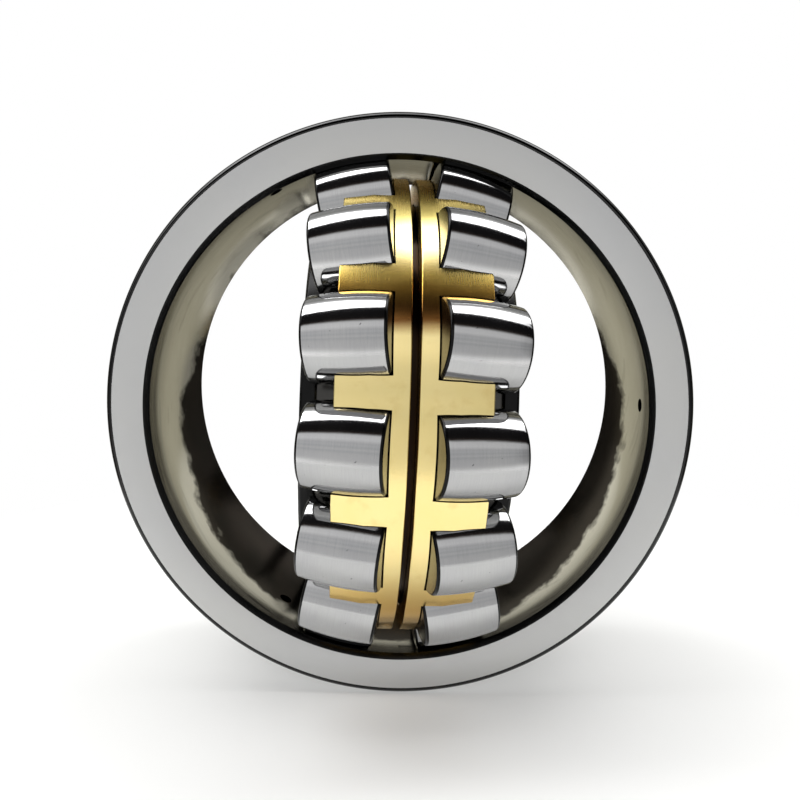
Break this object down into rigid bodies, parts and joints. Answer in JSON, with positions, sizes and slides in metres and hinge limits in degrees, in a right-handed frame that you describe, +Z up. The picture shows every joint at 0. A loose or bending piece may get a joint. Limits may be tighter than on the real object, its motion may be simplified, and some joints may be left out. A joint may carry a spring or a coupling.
{
  "type": "spherical roller bearing",
  "caption": "Double-row spherical roller bearing, its inner ring, barrel rollers and machined brass cages swivelled sideways in the one-piece outer ring.",
  "frame": {"origin": "bearing centre, which is the centre of the outer ring's raceway sphere and of its outside cylinder", "axes": "+Y along the axis of the outer ring, away from its front face; +Z up with the bearing standing on its rim; the swivelled inner axis lies nearly along +X"},
  "size_m": [0.24, 0.2157, 0.24],
  "materials": {
    "outer_ring_steel": "ground bearing steel, satin side faces and polished raceway",
    "inner_ring_steel": "ground bearing steel, polished raceways",
    "guide_ring_steel": "turned steel, oiled",
    "cage_brass": "machined brass, fine turning marks",
    "roller_steel": "mirror ground bearing steel"
  },
  "bodies": {
    "outer_ring": {"outer_ring": "outer_ring_steel"},
    "guide_ring": {"guide_ring": "guide_ring_steel"},
    "inner_ring": {"inner_ring": "inner_ring_steel"},
    "cage_left": {"cage_left": "cage_brass"},
    "cage_right": {"cage_right": "cage_brass"},
    "roller_left_01": {"roller_left_01": "roller_steel"},
    "roller_left_02": {"roller_left_02": "roller_steel"},
    "roller_left_03": {"roller_left_03": "roller_steel"},
    "roller_left_04": {"roller_left_04": "roller_steel"},
    "roller_left_05": {"roller_left_05": "roller_steel"},
    "roller_left_06": {"roller_left_06": "roller_steel"},
    "roller_left_07": {"roller_left_07": "roller_steel"},
    "roller_left_08": {"roller_left_08": "roller_steel"},
    "roller_left_09": {"roller_left_09": "roller_steel"},
    "roller_left_10": {"roller_left_10": "roller_steel"},
    "roller_left_11": {"roller_left_11": "roller_steel"},
    "roller_left_12": {"roller_left_12": "roller_steel"},
    "roller_left_13": {"roller_left_13": "roller_steel"},
    "roller_left_14": {"roller_left_14": "roller_steel"},
    "roller_left_15": {"roller_left_15": "roller_steel"},
    "roller_right_01": {"roller_right_01": "roller_steel"},
    "roller_right_02": {"roller_right_02": "roller_steel"},
    "roller_right_03": {"roller_right_03": "roller_steel"},
    "roller_right_04": {"roller_right_04": "roller_steel"},
    "roller_right_05": {"roller_right_05": "roller_steel"},
    "roller_right_06": {"roller_right_06": "roller_steel"},
    "roller_right_07": {"roller_right_07": "roller_steel"},
    "roller_right_08": {"roller_right_08": "roller_steel"},
    "roller_right_09": {"roller_right_09": "roller_steel"},
    "roller_right_10": {"roller_right_10": "roller_steel"},
    "roller_right_11": {"roller_right_11": "roller_steel"},
    "roller_right_12": {"roller_right_12": "roller_steel"},
    "roller_right_13": {"roller_right_13": "roller_steel"},
    "roller_right_14": {"roller_right_14": "roller_steel"},
    "roller_right_15": {"roller_right_15": "roller_steel"}
  },
  "joints": [
    {"name": "swivel", "type": "hinge", "parent": "outer_ring", "child": "guide_ring", "pos_m": [0, 0, 0], "axis": [0.0427, 0, 0.9991], "range_deg": [-94.35, 85.65]},
    {"name": "inner_spin", "type": "hinge", "parent": "guide_ring", "child": "inner_ring", "pos_m": [0, 0, 0], "axis": [0.9962, 0.0758, -0.0426], "continuous": true},
    {"name": "cage_left_spin", "type": "hinge", "parent": "guide_ring", "child": "cage_left", "pos_m": [0, 0, 0], "axis": [0.9962, 0.0758, -0.0426], "continuous": true},
    {"name": "cage_right_spin", "type": "hinge", "parent": "guide_ring", "child": "cage_right", "pos_m": [0, 0, 0], "axis": [0.9962, 0.0758, -0.0426], "continuous": true},
    {"name": "roller_left_01_spin", "type": "hinge", "parent": "cage_left", "child": "roller_left_01", "pos_m": [-0.01452, -0.0913, -0.00111], "axis": [0.9866, -0.1564, -0.0466], "continuous": true},
    {"name": "roller_left_02_spin", "type": "hinge", "parent": "cage_left", "child": "roller_left_02", "pos_m": [-0.01349, -0.08424, 0.03561], "axis": [0.9892, -0.1383, 0.0476], "continuous": true},
    {"name": "roller_left_03_spin", "type": "hinge", "parent": "cage_left", "child": "roller_left_03", "pos_m": [-0.0138, -0.0629, 0.06633], "axis": [0.9885, -0.0835, 0.1265], "continuous": true},
    {"name": "roller_left_04_spin", "type": "hinge", "parent": "cage_left", "child": "roller_left_04", "pos_m": [-0.0154, -0.03097, 0.08574], "axis": [0.9843, -0.0015, 0.1763], "continuous": true},
    {"name": "roller_left_05_spin", "type": "hinge", "parent": "cage_left", "child": "roller_left_05", "pos_m": [-0.01802, 0.00604, 0.09048], "axis": [0.9776, 0.0935, 0.1884], "continuous": true},
    {"name": "roller_left_06_spin", "type": "hinge", "parent": "cage_left", "child": "roller_left_06", "pos_m": [-0.02119, 0.04173, 0.07973], "axis": [0.9695, 0.1851, 0.1608], "continuous": true},
    {"name": "roller_left_07_spin", "type": "hinge", "parent": "cage_left", "child": "roller_left_07", "pos_m": [-0.02438, 0.06992, 0.05535], "axis": [0.9613, 0.2574, 0.0983], "continuous": true},
    {"name": "roller_left_08_spin", "type": "hinge", "parent": "cage_left", "child": "roller_left_08", "pos_m": [-0.02703, 0.08574, 0.02156], "axis": [0.9545, 0.298, 0.0115], "continuous": true},
    {"name": "roller_left_09_spin", "type": "hinge", "parent": "cage_left", "child": "roller_left_09", "pos_m": [-0.02869, 0.08646, -0.0158], "axis": [0.9502, 0.2999, -0.0844], "continuous": true},
    {"name": "roller_left_10_spin", "type": "hinge", "parent": "cage_left", "child": "roller_left_10", "pos_m": [-0.02906, 0.07194, -0.05027], "axis": [0.9493, 0.2626, -0.1728], "continuous": true},
    {"name": "roller_left_11_spin", "type": "hinge", "parent": "cage_left", "child": "roller_left_11", "pos_m": [-0.02808, 0.04471, -0.07589], "axis": [0.9518, 0.1927, -0.2386], "continuous": true},
    {"name": "roller_left_12_spin", "type": "hinge", "parent": "cage_left", "child": "roller_left_12", "pos_m": [-0.02592, 0.00947, -0.08823], "axis": [0.9573, 0.1023, -0.2703], "continuous": true},
    {"name": "roller_left_13_spin", "type": "hinge", "parent": "cage_left", "child": "roller_left_13", "pos_m": [-0.02296, -0.02769, -0.08516], "axis": [0.9649, 0.0069, -0.2624], "continuous": true},
    {"name": "roller_left_14_spin", "type": "hinge", "parent": "cage_left", "child": "roller_left_14", "pos_m": [-0.01971, -0.06034, -0.06721], "axis": [0.9733, -0.0769, -0.2163], "continuous": true},
    {"name": "roller_left_15_spin", "type": "hinge", "parent": "cage_left", "child": "roller_left_15", "pos_m": [-0.01672, -0.08284, -0.03748], "axis": [0.9809, -0.1347, -0.14], "continuous": true},
    {"name": "roller_right_01_spin", "type": "hinge", "parent": "cage_right", "child": "roller_right_01", "pos_m": [0.02797, -0.08803, -0.00387], "axis": [0.9521, 0.3039, -0.0339], "continuous": true},
    {"name": "roller_right_02_spin", "type": "hinge", "parent": "cage_right", "child": "roller_right_02", "pos_m": [0.02903, -0.08137, 0.03292], "axis": [0.9494, 0.2868, -0.1283], "continuous": true},
    {"name": "roller_right_03_spin", "type": "hinge", "parent": "cage_right", "child": "roller_right_03", "pos_m": [0.02876, -0.06035, 0.06386], "axis": [0.9501, 0.2329, -0.2077], "continuous": true},
    {"name": "roller_right_04_spin", "type": "hinge", "parent": "cage_right", "child": "roller_right_04", "pos_m": [0.02718, -0.02862, 0.0836], "axis": [0.9541, 0.1514, -0.2584], "continuous": true},
    {"name": "roller_right_05_spin", "type": "hinge", "parent": "cage_right", "child": "roller_right_05", "pos_m": [0.02459, 0.00834, 0.08873], "axis": [0.9608, 0.0565, -0.2716], "continuous": true},
    {"name": "roller_right_06_spin", "type": "hinge", "parent": "cage_right", "child": "roller_right_06", "pos_m": [0.02142, 0.04414, 0.07836], "axis": [0.9689, -0.0354, -0.2449], "continuous": true},
    {"name": "roller_right_07_spin", "type": "hinge", "parent": "cage_right", "child": "roller_right_07", "pos_m": [0.01822, 0.07259, 0.05428], "axis": [0.9771, -0.1084, -0.1831], "continuous": true},
    {"name": "roller_right_08_spin", "type": "hinge", "parent": "cage_right", "child": "roller_right_08", "pos_m": [0.01555, 0.08876, 0.02066], "axis": [0.984, -0.1499, -0.0968], "continuous": true},
    {"name": "roller_right_09_spin", "type": "hinge", "parent": "cage_right", "child": "roller_right_09", "pos_m": [0.01387, 0.08987, -0.01669], "axis": [0.9883, -0.1527, -0.001], "continuous": true},
    {"name": "roller_right_10_spin", "type": "hinge", "parent": "cage_right", "child": "roller_right_10", "pos_m": [0.01347, 0.07571, -0.05131], "axis": [0.9893, -0.1164, 0.0879], "continuous": true},
    {"name": "roller_right_11_spin", "type": "hinge", "parent": "cage_right", "child": "roller_right_11", "pos_m": [0.01441, 0.04875, -0.07722], "axis": [0.9869, -0.0472, 0.1544], "continuous": true},
    {"name": "roller_right_12_spin", "type": "hinge", "parent": "cage_right", "child": "roller_right_12", "pos_m": [0.01654, 0.01364, -0.08993], "axis": [0.9814, 0.043, 0.187], "continuous": true},
    {"name": "roller_right_13_spin", "type": "hinge", "parent": "cage_right", "child": "roller_right_13", "pos_m": [0.01949, -0.02355, -0.08725], "axis": [0.9739, 0.1384, 0.1802], "continuous": true},
    {"name": "roller_right_14_spin", "type": "hinge", "parent": "cage_right", "child": "roller_right_14", "pos_m": [0.02274, -0.05639, -0.06964], "axis": [0.9655, 0.2227, 0.1349], "continuous": true},
    {"name": "roller_right_15_spin", "type": "hinge", "parent": "cage_right", "child": "roller_right_15", "pos_m": [0.02574, -0.0792, -0.04015], "axis": [0.9578, 0.2813, 0.0592], "continuous": true}
  ],
  "couplings": [
    {"joint": "cage_left_spin", "follows": "inner_spin", "ratio": 0.41212},
    {"joint": "cage_right_spin", "follows": "inner_spin", "ratio": 0.41212},
    {"joint": "roller_left_01_spin", "follows": "inner_spin", "ratio": -2.6822},
    {"joint": "roller_left_02_spin", "follows": "inner_spin", "ratio": -2.6822},
    {"joint": "roller_left_03_spin", "follows": "inner_spin", "ratio": -2.6822},
    {"joint": "roller_left_04_spin", "follows": "inner_spin", "ratio": -2.6822},
    {"joint": "roller_left_05_spin", "follows": "inner_spin", "ratio": -2.6822},
    {"joint": "roller_left_06_spin", "follows": "inner_spin", "ratio": -2.6822},
    {"joint": "roller_left_07_spin", "follows": "inner_spin", "ratio": -2.6822},
    {"joint": "roller_left_08_spin", "follows": "inner_spin", "ratio": -2.6822},
    {"joint": "roller_left_09_spin", "follows": "inner_spin", "ratio": -2.6822},
    {"joint": "roller_left_10_spin", "follows": "inner_spin", "ratio": -2.6822},
    {"joint": "roller_left_11_spin", "follows": "inner_spin", "ratio": -2.6822},
    {"joint": "roller_left_12_spin", "follows": "inner_spin", "ratio": -2.6822},
    {"joint": "roller_left_13_spin", "follows": "inner_spin", "ratio": -2.6822},
    {"joint": "roller_left_14_spin", "follows": "inner_spin", "ratio": -2.6822},
    {"joint": "roller_left_15_spin", "follows": "inner_spin", "ratio": -2.6822},
    {"joint": "roller_right_01_spin", "follows": "inner_spin", "ratio": -2.6822},
    {"joint": "roller_right_02_spin", "follows": "inner_spin", "ratio": -2.6822},
    {"joint": "roller_right_03_spin", "follows": "inner_spin", "ratio": -2.6822},
    {"joint": "roller_right_04_spin", "follows": "inner_spin", "ratio": -2.6822},
    {"joint": "roller_right_05_spin", "follows": "inner_spin", "ratio": -2.6822},
    {"joint": "roller_right_06_spin", "follows": "inner_spin", "ratio": -2.6822},
    {"joint": "roller_right_07_spin", "follows": "inner_spin", "ratio": -2.6822},
    {"joint": "roller_right_08_spin", "follows": "inner_spin", "ratio": -2.6822},
    {"joint": "roller_right_09_spin", "follows": "inner_spin", "ratio": -2.6822},
    {"joint": "roller_right_10_spin", "follows": "inner_spin", "ratio": -2.6822},
    {"joint": "roller_right_11_spin", "follows": "inner_spin", "ratio": -2.6822},
    {"joint": "roller_right_12_spin", "follows": "inner_spin", "ratio": -2.6822},
    {"joint": "roller_right_13_spin", "follows": "inner_spin", "ratio": -2.6822},
    {"joint": "roller_right_14_spin", "follows": "inner_spin", "ratio": -2.6822},
    {"joint": "roller_right_15_spin", "follows": "inner_spin", "ratio": -2.6822}
  ]
}
